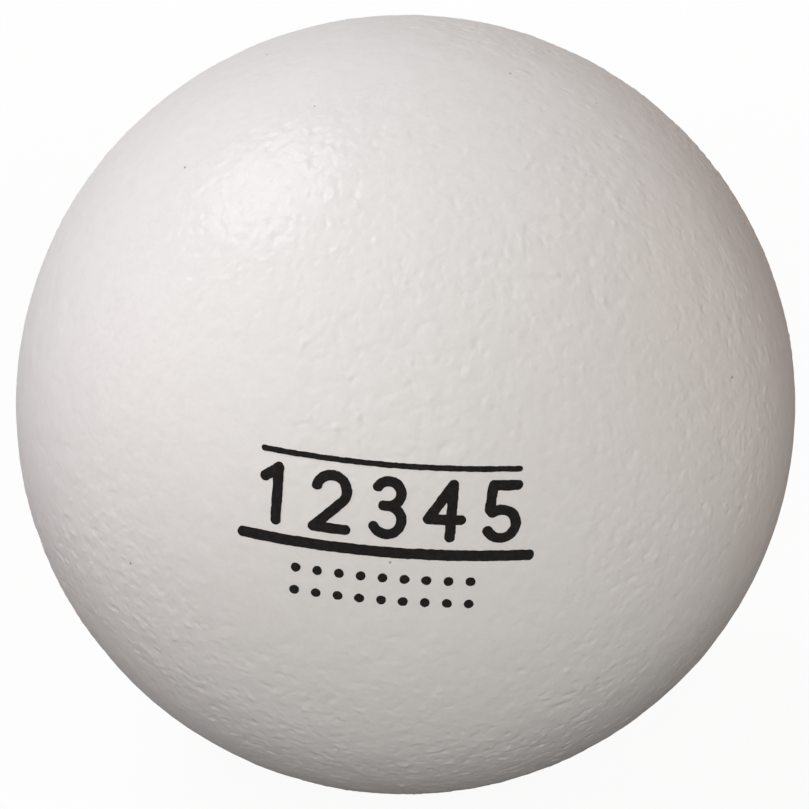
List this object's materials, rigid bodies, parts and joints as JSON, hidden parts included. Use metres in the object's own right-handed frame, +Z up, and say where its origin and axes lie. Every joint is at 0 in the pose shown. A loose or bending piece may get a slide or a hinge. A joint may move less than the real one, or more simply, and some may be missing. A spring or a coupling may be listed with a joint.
{
  "type": "handball",
  "caption": "Soft seamless handball: a round foam core in a bonded, grained white skin with a plain black print, settled on a small flat where it stands.",
  "frame": {"origin": "centre of the ball", "axes": "+Z up from the flat that the ball stands on through its centre; -Y is the side with the print; +X is to the right of a viewer who reads the print"},
  "size_m": [0.16, 0.1601, 0.159],
  "materials": {
    "foam": "open-cell foam",
    "skin": "satin, fine leathery grain",
    "ink": "matt"
  },
  "bodies": {
    "root": {"foam_core": "foam", "skin": "skin", "print_rules": "ink", "print_dots": "ink"}
  },
  "joints": []
}
